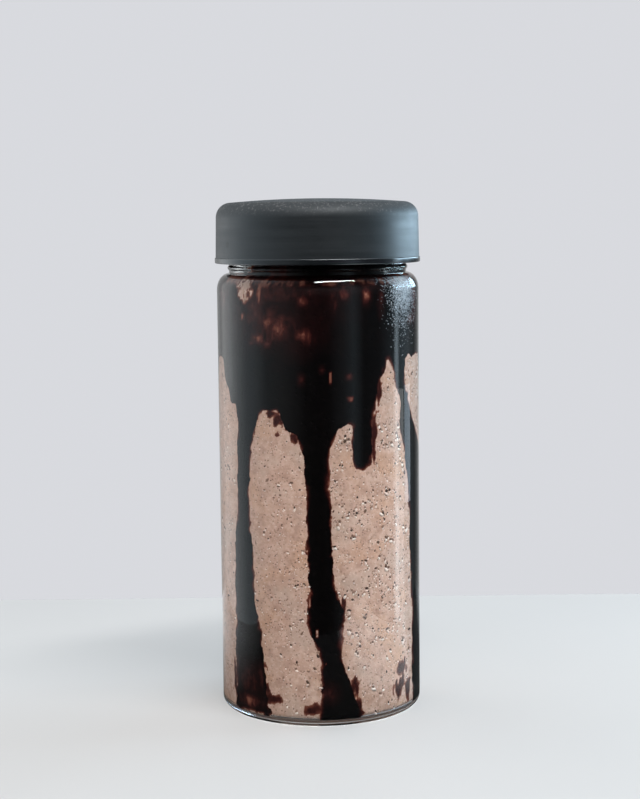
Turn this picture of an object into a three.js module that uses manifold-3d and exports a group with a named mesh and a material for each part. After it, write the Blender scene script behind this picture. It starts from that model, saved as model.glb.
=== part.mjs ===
// A chocolate milkshake in a tall glass jar with a black screw lid.
// Chocolate sauce coats the inside of the shoulder and runs down between the glass and the drink.
// Millimetres, +Z up, origin at the centre of the foot, front of the jar towards -Y.
import * as THREE from "three";
import { mergeVertices } from "three/addons/utils/BufferGeometryUtils.js";
import Module from "manifold-3d";

const wasm = await Module();
wasm.setup();

// Driving dimensions of the jar
const BODY_RADIUS = 33.5;
const WALL = 2.6;
const HEEL_RADIUS = 2.8;
const FOOT_RING_WIDTH = 2.2;
const PUSH_UP = 0.6;
const FLOOR = 2.1;
const FLOOR_DOME = 0.5;
const INNER_HEEL_RADIUS = 1.1;
const LEAST_HEEL_RADIUS = 0.2;
const SHOULDER_START = 140.0;
const SHOULDER_RISE = 5.4;
const NECK_RADIUS = 29.4;
const NECK_BEAD_HEIGHT = 147.2;
const NECK_BEAD_HALF = 1.1;
const NECK_BEAD_OUT = 0.5;
const RIM_HEIGHT = 167.0;
const RIM_ROUND = 0.7;

// Inside of the jar, which the contents follow
const INNER_RADIUS = BODY_RADIUS - WALL;
const INNER_NECK_RADIUS = NECK_RADIUS - WALL;
const INNER_SHOULDER_DROP = 1.2;
const INNER_SHOULDER_START = SHOULDER_START - INNER_SHOULDER_DROP;
const INNER_SHOULDER_RISE = SHOULDER_RISE - INNER_SHOULDER_DROP;
const FLOOR_EDGE = INNER_RADIUS - INNER_HEEL_RADIUS;

// Screw thread: one bead on the neck and one in the lid, half a pitch apart
const THREAD_PITCH = 4.2;
const THREAD_TURNS = 1.1;
const THREAD_BEAD = 0.9;
const THREAD_START = 154.2;
const THREAD_STAND_OFF = 0.65;

// Driving dimensions of the lid
const LID_TOP = 169.8;
const LID_BOTTOM = 148.7;
const LID_RADIUS = 33.5;
const LID_DRAFT = 0.25;
const LID_CROWN = 1.2;
const LID_EDGE = 4.9;
const LID_LIP_HEIGHT = 1.9;
const LID_LIP_OUT = 0.3;
const LID_LIP_ROUND = 0.4;
const LID_INNER_RADIUS = 31.6;
const LID_INNER_TOP = 167.4;
const LID_INNER_CORNER = 0.8;

// Contents
const GAP = 0.3;
const FILL = 144.6;
const SAUCE_THICKNESS = 2.0;
const SAUCE_BAND_BOTTOM = 118.5;
const SAUCE_BAND_TOP = 146.1;
const SAUCE_INNER_REACH = 18.0;
const SAUCE_TIP = 0.4;

// Runs of sauce down from the band, each a few stations of height in mm, azimuth in degrees from the
// front, positive to the right, and width in mm. The last station is where the round end begins.
const SAUCE_RUNS = [
  [[120, -60, 12], [112, -59, 11], [107, -56, 8]],
  [
    ...[[120, -45, 20], [105, -45.5, 11.5], [98, -47.5, 8.1], [82, -50, 5.5]],
    ...[[45, -51, 8.6], [25, -48.5, 11.3], [3, -46, 14]],
  ],
  [[120, -30, 16], [112, -30, 15], [106, -29, 10]],
  [[120, -17, 16], [108, -16, 13], [98.5, -13.5, 8]],
  [
    ...[[120, -2, 18], [97, -1, 13], [88, -1, 7.6], [68, -0.5, 8]],
    ...[[47, 1.2, 7.2], [35, 2.5, 11.2], [22, 5.5, 6.4], [3, 11, 13]],
  ],
  [[120, 11, 16], [108, 11, 12], [100, 11, 8]],
  [[120, 27, 18], [110, 26.5, 10.5], [96, 26, 6.6], [86, 26, 6]],
  [
    ...[[120, 55, 9], [113, 54, 5], [104, 59.5, 5], [95, 64, 9.7]],
    ...[[86, 73, 13.5], [57, 75.5, 11], [30, 77, 9.7], [3, 77, 10]],
  ],
  [[120, 97, 15], [106, 98, 10], [86, 99, 7]],
  [[120, 121, 16], [100, 120, 7.5], [70, 118, 6], [40, 117, 8]],
  [[120, 145, 18], [108, 147, 13], [99, 149, 8]],
  [[120, 168, 16], [98, 166, 7.5], [60, 164, 6.2], [30, 162, 9], [3, 161, 13]],
  [[120, -166, 17], [106, -165, 11], [94, -163, 7]],
  [[120, -142, 16], [100, -144, 8], [78, -146, 6.4], [58, -147, 8]],
  [[120, -118, 18], [100, -116, 9], [72, -114, 6.4], [34, -113, 8.5], [3, -111, 12]],
  [[120, -98, 17], [112, -98, 13], [104, -97, 8]],
];
// Sauce that rises into the neck, as evenly spread runs upwards in front and behind, between azimuths
const SMEARS_IN_FRONT = { first: -31, last: 66, count: 4 };
const SMEARS_BEHIND = { first: 98, last: 254, count: 6 };
const SMEAR_WIDTH = 15;
const SMEAR_HEIGHT = 147.6;
const SMEAR_UNEVENNESS = 1.2;

// Facets
const AROUND = 40;
const ARC_STEPS = 4;
const THREAD_SIDES = 5;
const THREAD_STEPS_PER_TURN = 24;
const RUN_STEPS = 2;
const NECK_BEAD_STEPS = 4;
const DOME_SHARES = [0, 0.45, 0.8];

function radians(degrees) {
  return THREE.MathUtils.degToRad(degrees);
}

// Points of a quarter of an ellipse in the (radius, height) plane, from angle a to angle b in degrees
function arc(centreR, centreZ, radiusR, radiusZ, a, b, steps = ARC_STEPS) {
  const points = [];
  for (let i = 0; i <= steps; i++) {
    const angle = radians(a + ((b - a) * i) / steps);
    points.push([centreR + radiusR * Math.cos(angle), centreZ + radiusZ * Math.sin(angle)]);
  }
  return points;
}

// Points of a shallow dome from the axis outwards, up to but without its edge
function dome(edgeHeight, rise, edgeRadius) {
  return DOME_SHARES.map((share) => [share * edgeRadius, edgeHeight + rise * (1 - share ** 2)]);
}

// A three.js geometry as a closed solid for cutting and joining
function solid(geometry) {
  const bare = geometry.clone();
  bare.deleteAttribute("normal");
  bare.deleteAttribute("uv");
  const merged = mergeVertices(bare, 1e-4);
  const corners = merged.index.array;
  const kept = [];
  for (let i = 0; i < corners.length; i += 3) {
    const [a, b, c] = [corners[i], corners[i + 1], corners[i + 2]];
    if (a !== b && b !== c && c !== a) kept.push(a, b, c);
  }
  const vertProperties = new Float32Array(merged.attributes.position.array);
  return new wasm.Manifold(new wasm.Mesh({ numProp: 3, vertProperties, triVerts: new Uint32Array(kept) }));
}

// A closed solid back as a three.js geometry, without loose scraps
function geometryOf(made) {
  const pieces = made.decompose().sort((a, b) => b.volume() - a.volume());
  const { vertProperties, triVerts } = pieces[0].getMesh();
  const geometry = new THREE.BufferGeometry();
  geometry.setAttribute("position", new THREE.BufferAttribute(vertProperties, 3));
  geometry.setIndex(new THREE.BufferAttribute(triVerts, 1));
  geometry.computeVertexNormals();
  return geometry;
}

// A profile of (radius, height) points turned round the Z axis
function turned(profile) {
  const points = profile.map(([r, z]) => new THREE.Vector2(r, z));
  return solid(new THREE.LatheGeometry(points, AROUND).rotateX(Math.PI / 2));
}

// A right-handed screw bead round the Z axis
function threadBead(radius, startHeight) {
  class Helix extends THREE.Curve {
    getPoint(t, target = new THREE.Vector3()) {
      const angle = 2 * Math.PI * THREAD_TURNS * t;
      const height = startHeight + THREAD_PITCH * THREAD_TURNS * t;
      return target.set(radius * Math.cos(angle), radius * Math.sin(angle), height);
    }
  }
  const section = new THREE.Shape();
  for (let i = 0; i < THREAD_SIDES; i++) {
    const angle = (2 * Math.PI * i) / THREAD_SIDES;
    const [x, y] = [THREAD_BEAD * Math.cos(angle), THREAD_BEAD * Math.sin(angle)];
    if (i === 0) section.moveTo(x, y);
    else section.lineTo(x, y);
  }
  const steps = Math.round(THREAD_STEPS_PER_TURN * THREAD_TURNS);
  return solid(new THREE.ExtrudeGeometry(section, { steps, extrudePath: new Helix() }));
}

// The outline of a low rounded bead round the neck, just below the lid
function neckBead() {
  const points = [];
  for (let i = 0; i <= NECK_BEAD_STEPS; i++) {
    const share = (2 * i) / NECK_BEAD_STEPS - 1;
    const out = (NECK_BEAD_OUT * (1 + Math.cos(Math.PI * share))) / 2;
    points.push([NECK_RADIUS + out, NECK_BEAD_HEIGHT + NECK_BEAD_HALF * share]);
  }
  return points;
}

// The jar: concave foot, rounded heel, straight wall, round shoulder, threaded neck with a bead below the lid
function makeJar() {
  const footOuter = BODY_RADIUS - HEEL_RADIUS;
  const footInner = footOuter - FOOT_RING_WIDTH;
  const shoulderDepth = BODY_RADIUS - NECK_RADIUS;
  const glass = turned([
    ...dome(0, PUSH_UP, footInner),
    [footInner, 0],
    ...arc(footOuter, HEEL_RADIUS, HEEL_RADIUS, HEEL_RADIUS, -90, 0),
    ...arc(NECK_RADIUS, SHOULDER_START, shoulderDepth, SHOULDER_RISE, 0, 90, ARC_STEPS + 2),
    ...neckBead(),
    ...arc(NECK_RADIUS - RIM_ROUND, RIM_HEIGHT - RIM_ROUND, RIM_ROUND, RIM_ROUND, 0, 90, 3),
    ...arc(INNER_NECK_RADIUS + RIM_ROUND, RIM_HEIGHT - RIM_ROUND, RIM_ROUND, RIM_ROUND, 90, 180, 3),
    ...insideOfJar(0).reverse(),
    ...floorOfJar(0).reverse(),
  ]);
  return glass.add(threadBead(NECK_RADIUS + THREAD_STAND_OFF, THREAD_START));
}

// The slightly raised floor inside, from the axis towards its edge, moved up by inset
function floorOfJar(inset) {
  return dome(FLOOR + inset, FLOOR_DOME, FLOOR_EDGE);
}

// The inside wall from the edge of the floor up to the neck, moved inwards by inset
function insideOfJar(inset) {
  const heel = Math.max(INNER_HEEL_RADIUS - inset, LEAST_HEEL_RADIUS);
  return [
    ...arc(INNER_RADIUS - inset - heel, FLOOR + inset + heel, heel, heel, -90, 0),
    ...arc(
      INNER_NECK_RADIUS,
      INNER_SHOULDER_START,
      INNER_RADIUS - INNER_NECK_RADIUS - inset,
      INNER_SHOULDER_RISE - inset,
      0,
      90,
    ),
    [INNER_NECK_RADIUS - inset, INNER_SHOULDER_START + INNER_SHOULDER_RISE + GAP],
  ];
}

// The lid: crowned top, wide round edge, slightly drafted side with a lip, hollow and threaded inside
function makeLid() {
  const edgeStart = LID_RADIUS - LID_EDGE;
  const side = LID_RADIUS + LID_DRAFT;
  const lipTop = LID_BOTTOM + LID_LIP_HEIGHT;
  const lipRadius = side + LID_LIP_OUT;
  const crownEdge = LID_TOP - LID_CROWN;
  const cap = turned([
    [0, LID_INNER_TOP],
    [LID_INNER_RADIUS - LID_INNER_CORNER, LID_INNER_TOP],
    [LID_INNER_RADIUS, LID_INNER_TOP - LID_INNER_CORNER],
    [LID_INNER_RADIUS, LID_BOTTOM],
    ...arc(lipRadius - LID_LIP_ROUND, LID_BOTTOM + LID_LIP_ROUND, LID_LIP_ROUND, LID_LIP_ROUND, -90, 0),
    [lipRadius, lipTop - LID_LIP_ROUND],
    [side, lipTop],
    ...arc(edgeStart, crownEdge - LID_EDGE, LID_EDGE, LID_EDGE, 0, 84, ARC_STEPS + 2),
    ...dome(crownEdge, LID_CROWN, edgeStart).reverse(),
  ]);
  return cap.add(threadBead(LID_INNER_RADIUS, THREAD_START - THREAD_PITCH / 2));
}

// Everything inside the jar up to a height, moved inwards from the glass by inset
function contents(inset, top) {
  return turned([
    ...floorOfJar(inset),
    ...insideOfJar(inset),
    [INNER_NECK_RADIUS - inset, top],
    [0, top],
  ]);
}

// One run of sauce as a prism that points outwards from the axis, with a smooth outline through its
// stations and a round end. It is widened by grow on every side.
function run(stations, grow) {
  const azimuths = stations.map((station) => station[1]);
  const middle = radians((Math.min(...azimuths) + Math.max(...azimuths)) / 2);
  const across = (azimuth) => INNER_RADIUS * Math.sin(azimuth - middle);
  const path = new THREE.CatmullRomCurve3(stations.map(([z, a, w]) => new THREE.Vector3(radians(a), z, w)));
  const points = path.getPoints(RUN_STEPS * (stations.length - 1));
  const side = (sign) =>
    points.map(({ x, y, z }) => new THREE.Vector2(across(x + (sign * (z / 2 + grow)) / INNER_RADIUS), y));
  const left = side(-1);
  const right = side(1);
  const last = points.at(-1);
  const direction = Math.sign(last.y - points[0].y);
  const tipHeight = last.y + direction * (SAUCE_TIP * last.z + grow);
  const shape = new THREE.Shape();
  shape.moveTo(left[0].x, left[0].y);
  left.slice(1).forEach((p) => shape.lineTo(p.x, p.y));
  shape.quadraticCurveTo(left.at(-1).x, tipHeight, across(last.x), tipHeight);
  shape.quadraticCurveTo(right.at(-1).x, tipHeight, right.at(-1).x, right.at(-1).y);
  right.reverse().slice(1).forEach((p) => shape.lineTo(p.x, p.y));
  const geometry = new THREE.ExtrudeGeometry(shape, {
    depth: BODY_RADIUS - SAUCE_INNER_REACH,
    bevelEnabled: false,
    curveSegments: 3,
  });
  const along = new THREE.Vector3(Math.cos(middle), Math.sin(middle), 0);
  const out = new THREE.Vector3(Math.sin(middle), -Math.cos(middle), 0);
  geometry.translate(0, 0, SAUCE_INNER_REACH);
  geometry.applyMatrix4(new THREE.Matrix4().makeBasis(along, new THREE.Vector3(0, 0, 1), out));
  return solid(geometry);
}

// The stations of one smear of a group in the neck. Every other one is shorter.
function smear(group, index) {
  const azimuth = group.first + ((group.last - group.first) * index) / (group.count - 1);
  const height = SMEAR_HEIGHT + (index % 2 ? SMEAR_UNEVENNESS : -SMEAR_UNEVENNESS);
  return [
    [SAUCE_BAND_TOP - SMEAR_UNEVENNESS, azimuth, SMEAR_WIDTH],
    [height, azimuth, SMEAR_WIDTH],
  ];
}

// The coat of sauce on the glass. A positive grow gives the room that the drink leaves for it.
function makeSauce(grow) {
  const outer = grow > 0 ? -1 : GAP;
  const coat = contents(outer, RIM_HEIGHT).subtract(contents(GAP + SAUCE_THICKNESS + grow, RIM_HEIGHT + 1));
  let cover = turned([
    [0, SAUCE_BAND_BOTTOM - grow],
    [BODY_RADIUS, SAUCE_BAND_BOTTOM - grow],
    [BODY_RADIUS, SAUCE_BAND_TOP + grow],
    [0, SAUCE_BAND_TOP + grow],
  ]);
  for (const stations of SAUCE_RUNS) cover = cover.add(run(stations, grow));
  for (const group of [SMEARS_IN_FRONT, SMEARS_BEHIND]) {
    for (let i = 0; i < group.count; i++) cover = cover.add(run(smear(group, i), grow));
  }
  return coat.intersect(cover);
}

// The drink fills what the sauce leaves
function makeMilkshake() {
  return contents(GAP, FILL).subtract(makeSauce(GAP));
}

function part(name, made, material) {
  const mesh = new THREE.Mesh(geometryOf(made), material);
  mesh.name = name;
  return mesh;
}

const glassMaterial = new THREE.MeshStandardMaterial({
  color: 0xdfe9ea,
  roughness: 0.03,
  metalness: 0,
  transparent: true,
  opacity: 0.3,
});
const lidMaterial = new THREE.MeshStandardMaterial({ color: 0x23262a, roughness: 0.45, metalness: 0 });
const drinkMaterial = new THREE.MeshStandardMaterial({ color: 0xb09488, roughness: 0.5, metalness: 0 });
const sauceMaterial = new THREE.MeshStandardMaterial({ color: 0x1c0d0a, roughness: 0.25, metalness: 0 });

const milkshake = new THREE.Group();
milkshake.add(
  part("jar", makeJar(), glassMaterial),
  part("lid", makeLid(), lidMaterial),
  part("milkshake", makeMilkshake(), drinkMaterial),
  part("chocolate_sauce", makeSauce(0), sauceMaterial),
);

export default milkshake;
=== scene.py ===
"""A chocolate milkshake in a tall glass jar with a dark screw lid.

Metres, +Z up, origin at the centre of the foot, front of the jar towards -Y. An azimuth is an angle round
the jar from its front, positive to the right as seen from the front.
"""
import math

import bpy
import numpy as np
from mathutils import Matrix, Quaternion, Vector
from mathutils.bvhtree import BVHTree


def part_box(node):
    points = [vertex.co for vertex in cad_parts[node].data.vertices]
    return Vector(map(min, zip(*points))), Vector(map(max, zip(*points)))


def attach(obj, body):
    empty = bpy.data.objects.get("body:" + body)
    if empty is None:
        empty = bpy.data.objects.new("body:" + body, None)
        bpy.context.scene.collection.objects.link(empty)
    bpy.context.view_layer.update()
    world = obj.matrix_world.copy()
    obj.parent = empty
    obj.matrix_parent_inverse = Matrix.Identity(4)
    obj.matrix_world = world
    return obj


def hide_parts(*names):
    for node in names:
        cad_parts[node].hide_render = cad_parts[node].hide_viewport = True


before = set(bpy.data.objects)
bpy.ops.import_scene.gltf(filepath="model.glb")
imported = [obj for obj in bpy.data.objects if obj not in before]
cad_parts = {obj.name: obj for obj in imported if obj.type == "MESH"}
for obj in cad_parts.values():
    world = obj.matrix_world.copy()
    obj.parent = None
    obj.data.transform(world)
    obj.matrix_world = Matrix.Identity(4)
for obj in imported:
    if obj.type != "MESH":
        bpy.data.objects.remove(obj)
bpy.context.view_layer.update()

MM = 0.001
SEED = 7

# Jar
BODY_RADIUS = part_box("jar")[1].x
RIM_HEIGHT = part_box("jar")[1].z
WALL = 2.6 * MM
HEEL_RADIUS = 2.8 * MM
FOOT_RING_WIDTH = 2.2 * MM
PUSH_UP = 0.6 * MM
FLOOR = 2.1 * MM
FLOOR_DOME = 0.5 * MM
INNER_HEEL_RADIUS = 1.1 * MM
SHOULDER_START = 140.0 * MM
SHOULDER_RISE = 5.4 * MM
NECK_RADIUS = 29.4 * MM
NECK_BEAD_HEIGHT = 147.2 * MM
NECK_BEAD_HALF = 1.1 * MM
NECK_BEAD_OUT = 0.5 * MM
NECK_ROWS = np.arange(149.0, 166.0, 0.3) * MM
RIM_ROUND = 0.7 * MM
INNER_RADIUS = BODY_RADIUS - WALL
INNER_NECK_RADIUS = NECK_RADIUS - WALL
INNER_SHOULDER_DROP = 1.2 * MM
INNER_SHOULDER_START = SHOULDER_START - INNER_SHOULDER_DROP
INNER_SHOULDER_RISE = SHOULDER_RISE - INNER_SHOULDER_DROP
FLOOR_EDGE = INNER_RADIUS - INNER_HEEL_RADIUS

# Screw thread
THREAD_PITCH = 4.2 * MM
THREAD_TURNS = 1.1
THREAD_START = 154.2 * MM
THREAD_HEIGHT = 1.5 * MM
THREAD_HALF_WIDTH = 0.9 * MM

# Lid
LID_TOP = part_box("lid")[1].z
LID_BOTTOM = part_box("lid")[0].z
LID_LIP_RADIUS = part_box("lid")[1].x
LID_LIP_OUT = 0.3 * MM
LID_LIP_HEIGHT = 1.9 * MM
LID_LIP_ROUND = 0.4 * MM
LID_SIDE_RADIUS = LID_LIP_RADIUS - LID_LIP_OUT
LID_TAPER = 0.25 * MM
LID_RADIUS = LID_SIDE_RADIUS - LID_TAPER
LID_CROWN = 1.2 * MM
LID_EDGE = 4.9 * MM
LID_INNER_RADIUS = 31.6 * MM
LID_INNER_TOP = 167.4 * MM
LID_INNER_CORNER = 0.8 * MM
LID_INNER_ROW = 0.3 * MM

# Contents
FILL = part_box("milkshake")[1].z
INTO_WALL = 0.04 * MM
COAT_TOP = 157 * MM
# The sauce thickens inwards from its outline by a slope, and its face stands further into the glass there
SAUCE_SLOPE = 1.6
SAUCE_LEAST = 0.15 * MM
SAUCE_THICKNESS = 2.0 * MM
SAUCE_STAND_SLOPE = 0.25
SAUCE_STAND = (-0.12 * MM, 0.08 * MM)
SAUCE_MARGIN = 0.5 * MM
GROOVE_START = 0.9 * MM
SHAKE_TOP_RINGS = (0.85, 0.5, 0.2)
FAR_FROM_SAUCE = -9.0
# Grid on the inside of the glass. The pieces use every second row of it
AZIMUTH_STEPS = 400
WALL_STEP = 0.5 * MM
ROW_STEP = 2
SAME_RADIUS = 1e-6


# Shapes in the (radius, height) plane


def arc(centre_r, centre_z, radius_r, radius_z, start, end, steps):
    """Points of an ellipse's arc between two angles in degrees."""
    angles = np.radians(np.linspace(start, end, steps + 1))
    return [(centre_r + radius_r * math.cos(a), centre_z + radius_z * math.sin(a)) for a in angles]


def dome(edge_height, rise, edge_radius, steps=8):
    """Points of a shallow dome from the axis outwards, without its edge."""
    shares = np.linspace(0, 1, steps, endpoint=False)
    return [(s * edge_radius, edge_height + rise * (1 - s * s)) for s in shares]


def neck_bead(steps=14):
    """A low rounded bead round the neck, just below the lid."""
    shares = np.linspace(-1, 1, steps + 1)
    out = NECK_BEAD_OUT * (1 + np.cos(math.pi * shares)) / 2
    return list(zip(NECK_RADIUS + out, NECK_BEAD_HEIGHT + NECK_BEAD_HALF * shares))


def inner_wall(steps):
    """The inside of the jar from the edge of the floor up to the neck."""
    heel = INNER_HEEL_RADIUS
    shoulder = INNER_RADIUS - INNER_NECK_RADIUS
    return arc(FLOOR_EDGE, FLOOR + heel, heel, heel, -90, 0, steps) + arc(
        INNER_NECK_RADIUS, INNER_SHOULDER_START, shoulder, INNER_SHOULDER_RISE, 0, 90, steps
    )


# Meshes


def mesh_object(name, vertices, faces, material, sharp_angle=40):
    """A smooth-shaded object whose edges above the angle stay sharp."""
    mesh = bpy.data.meshes.new(name)
    mesh.from_pydata(vertices, [], faces)
    mesh.polygons.foreach_set("use_smooth", np.ones(len(mesh.polygons), bool))
    mesh.set_sharp_from_angle(angle=math.radians(sharp_angle))
    mesh.materials.append(material)
    mesh.validate()
    piece = bpy.data.objects.new(name, mesh)
    bpy.context.scene.collection.objects.link(piece)
    return piece


def add_field(piece, name, values):
    """One number for each vertex, which the materials read."""
    field = piece.data.attributes.new(name, "FLOAT", "POINT")
    field.data.foreach_set("value", values)


def round_points(radius, height, azimuth):
    """Places at these radii, heights and azimuths, as an array with a last axis of 3."""
    radius, height, azimuth = np.broadcast_arrays(radius, height, azimuth)
    return np.stack([radius * np.sin(azimuth), -radius * np.cos(azimuth), height], axis=-1)


def turned(name, profile, material, radial, around=160):
    """A profile from axis to axis turned round Z. radial(azimuth, r, z, index) moves points outwards."""
    azimuth = np.arange(around) * 2 * math.pi / around
    rings = np.array(profile[1:-1])
    count = len(rings)
    r, z = rings[:, 0][:, None], rings[:, 1][:, None]
    reach = r + radial(azimuth[None, :], r, z, np.arange(count)[:, None])
    points = round_points(reach, z, azimuth[None, :]).reshape(-1, 3)
    vertices = [(0, 0, profile[0][1]), *map(tuple, points), (0, 0, profile[-1][1])]
    faces = []
    for k in range(around):
        after = (k + 1) % around
        faces.append((0, 1 + after, 1 + k))
        last = 1 + (count - 1) * around
        faces.append((last + k, last + after, len(vertices) - 1))
        for i in range(count - 1):
            low, high = 1 + i * around, 1 + (i + 1) * around
            faces.append((low + k, low + after, high + after, high + k))
    return mesh_object(name, vertices, faces, material)


def thread_bump(azimuth, height, start):
    """How far a right-handed screw bead stands out at an azimuth and height, from 0 to 1."""
    turn = np.mod(azimuth + math.pi / 2, 2 * math.pi) / (2 * math.pi)
    bump = np.zeros(np.broadcast(azimuth, height).shape)
    for lap in range(math.ceil(THREAD_TURNS)):
        along = turn + lap
        centre = start + THREAD_PITCH * along
        there = along <= THREAD_TURNS
        rounded = np.clip(1 - ((height - centre) / THREAD_HALF_WIDTH) ** 2, 0, 1)
        bump = np.maximum(bump, np.sqrt(rounded) * there)
    return bump


def add_jar(material):
    foot_outer = BODY_RADIUS - HEEL_RADIUS
    foot_inner = foot_outer - FOOT_RING_WIDTH
    depth = BODY_RADIUS - NECK_RADIUS
    rim = RIM_HEIGHT - RIM_ROUND
    outside = [
        *dome(0, PUSH_UP, foot_inner),
        (foot_inner, 0),
        *arc(foot_outer, HEEL_RADIUS, HEEL_RADIUS, HEEL_RADIUS, -90, 0, 12),
        *[(BODY_RADIUS, z) for z in np.linspace(0.1, 0.9, 9) * SHOULDER_START],
        *arc(NECK_RADIUS, SHOULDER_START, depth, SHOULDER_RISE, 0, 84, 16),
        (NECK_RADIUS, SHOULDER_START + SHOULDER_RISE),
        *neck_bead(),
        *[(NECK_RADIUS, z) for z in NECK_ROWS],
        *arc(NECK_RADIUS - RIM_ROUND, rim, RIM_ROUND, RIM_ROUND, 0, 90, 5),
    ]
    inside = [
        *arc(INNER_NECK_RADIUS + RIM_ROUND, rim, RIM_ROUND, RIM_ROUND, 90, 180, 5),
        *inner_wall(12)[::-1],
        *dome(FLOOR, FLOOR_DOME, FLOOR_EDGE)[::-1],
    ]

    def thread(azimuth, r, z, index):
        on_neck = (np.abs(r - NECK_RADIUS) < SAME_RADIUS) & (index < len(outside) - 1)
        return on_neck * THREAD_HEIGHT * thread_bump(azimuth, z, THREAD_START)

    return turned("glass_jar", outside + inside, material, thread)


def add_lid(material):
    edge_start = LID_RADIUS - LID_EDGE
    crown_edge = LID_TOP - LID_CROWN
    lip_top = LID_BOTTOM + LID_LIP_HEIGHT
    lip = LID_LIP_ROUND
    inner_heights = np.arange(LID_BOTTOM, LID_INNER_TOP - LID_INNER_CORNER, LID_INNER_ROW)[::-1]
    profile = [
        (0, LID_INNER_TOP),
        (LID_INNER_RADIUS - LID_INNER_CORNER, LID_INNER_TOP),
        *[(LID_INNER_RADIUS, z) for z in inner_heights],
        *arc(LID_LIP_RADIUS - lip, LID_BOTTOM + lip, lip, lip, -90, 0, 6),
        *arc(LID_LIP_RADIUS - lip, lip_top - lip, lip, lip, 0, 60, 5),
        (LID_SIDE_RADIUS, lip_top),
        *arc(edge_start, crown_edge - LID_EDGE, LID_EDGE, LID_EDGE, 0, 84, 16),
        *dome(crown_edge, LID_CROWN, edge_start)[::-1],
    ]

    def thread(azimuth, r, z, index):
        inside = (np.abs(r - LID_INNER_RADIUS) < SAME_RADIUS) & (index < len(inner_heights) + 1)
        return inside * -THREAD_HALF_WIDTH * thread_bump(azimuth, z, THREAD_START - THREAD_PITCH / 2)

    return turned("screw_lid", profile, material, thread)


# The inside of the glass as a grid of azimuths and stations, and what lies on it


class Wall:
    """Stations along the inside of the glass, from the middle of the floor up into the neck."""

    def __init__(self):
        heel = arc(FLOOR_EDGE, FLOOR + INNER_HEEL_RADIUS, INNER_HEEL_RADIUS, INNER_HEEL_RADIUS, -90, 0, 4)
        side_heights = np.arange(heel[-1][1] + WALL_STEP, INNER_SHOULDER_START, WALL_STEP)
        side = [(INNER_RADIUS, z) for z in side_heights]
        depth = INNER_RADIUS - INNER_NECK_RADIUS
        shoulder = arc(INNER_NECK_RADIUS, INNER_SHOULDER_START, depth, INNER_SHOULDER_RISE, 0, 90, 13)
        neck_start = INNER_SHOULDER_START + INNER_SHOULDER_RISE
        neck = [(INNER_NECK_RADIUS, z) for z in np.arange(neck_start + WALL_STEP, COAT_TOP, WALL_STEP)]
        floor = dome(FLOOR, FLOOR_DOME, FLOOR_EDGE, 20)[1:]
        self.side_start = len(floor) + len(heel) - 1
        line = np.array(floor + heel + side + shoulder + neck)
        self.r, self.z = line[:, 0], line[:, 1]
        steps = np.hypot(*np.diff(line, axis=0).T)
        self.length = np.concatenate([[0.0], np.cumsum(steps)])
        self.level = self.length - self.length[self.side_start] + self.z[self.side_start]
        along = np.gradient(line, axis=0)
        along /= np.linalg.norm(along, axis=1)[:, None]
        self.out_r, self.out_z = along[:, 1], -along[:, 0]
        self.azimuth = np.arange(AZIMUTH_STEPS) * 2 * math.pi / AZIMUTH_STEPS - math.pi
        self.shape = (AZIMUTH_STEPS, len(line))

    def points(self, out):
        """The grid's places, moved from the glass's inside into the glass by out, an array or a number."""
        r = self.r[None, :] + out * self.out_r[None, :]
        z = self.z[None, :] + out * self.out_z[None, :]
        return round_points(r, z, self.azimuth[:, None])


def blur(field, sigma):
    """A Gaussian blur of a grid that closes on itself round the jar. sigma is in metres."""
    cells = sigma / WALL_STEP
    reach = int(math.ceil(3 * cells))
    weights = np.exp(-0.5 * (np.arange(-reach, reach + 1) / cells) ** 2)
    weights /= weights.sum()
    out = sum(w * np.roll(field, k - reach, axis=0) for k, w in enumerate(weights))
    padded = np.pad(out, ((0, 0), (reach, reach)), mode="edge")
    count = field.shape[1]
    return sum(w * padded[:, k : k + count] for k, w in enumerate(weights))


def lattice_noise(wall, across, height, rng):
    """Smooth noise from about -1 to 1 on the grid, with features of about these sizes in metres."""
    around = max(4, round(2 * math.pi * INNER_RADIUS / across))
    up = int(wall.length[-1] / height) + 3
    values = rng.uniform(-1, 1, (around, up))
    a = (wall.azimuth + math.pi) / (2 * math.pi) * around
    b = wall.length / height
    i, j = a.astype(int), b.astype(int)
    fa, fb = a - i, b - j
    fa, fb = (fa * fa * (3 - 2 * fa))[:, None], (fb * fb * (3 - 2 * fb))[None, :]
    pick = lambda di, dj: values[np.ix_((i + di) % around, j + dj)]
    low = pick(0, 0) * (1 - fa) + pick(1, 0) * fa
    high = pick(0, 1) * (1 - fa) + pick(1, 1) * fa
    return 1.5 * (low * (1 - fb) + high * fb)


def sauce_mask(wall):
    """1 where the part's own solid of sauce lies on the glass, else 0."""
    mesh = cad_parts["chocolate_sauce"].data
    tree = BVHTree.FromPolygons([v.co for v in mesh.vertices], [p.vertices for p in mesh.polygons])
    depth = 6 * MM
    starts = wall.points(-depth).reshape(-1, 3)
    ends = wall.points(0.0).reshape(-1, 3)
    hits = [tree.ray_cast(Vector(s), Vector(e - s), depth)[0] is not None for s, e in zip(starts, ends)]
    return np.array(hits, float).reshape(wall.shape)


def spot(wall, azimuth, level, half_width, half_height):
    """Distance from the middle of a round spot on the grid, 1 at its edge."""
    turn = np.mod(wall.azimuth - math.radians(azimuth) + math.pi, 2 * math.pi) - math.pi
    across = turn[:, None] * INNER_RADIUS / (half_width * MM)
    up = (wall.level[None, :] - level * MM) / (half_height * MM)
    return np.sqrt(across**2 + up**2)


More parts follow.
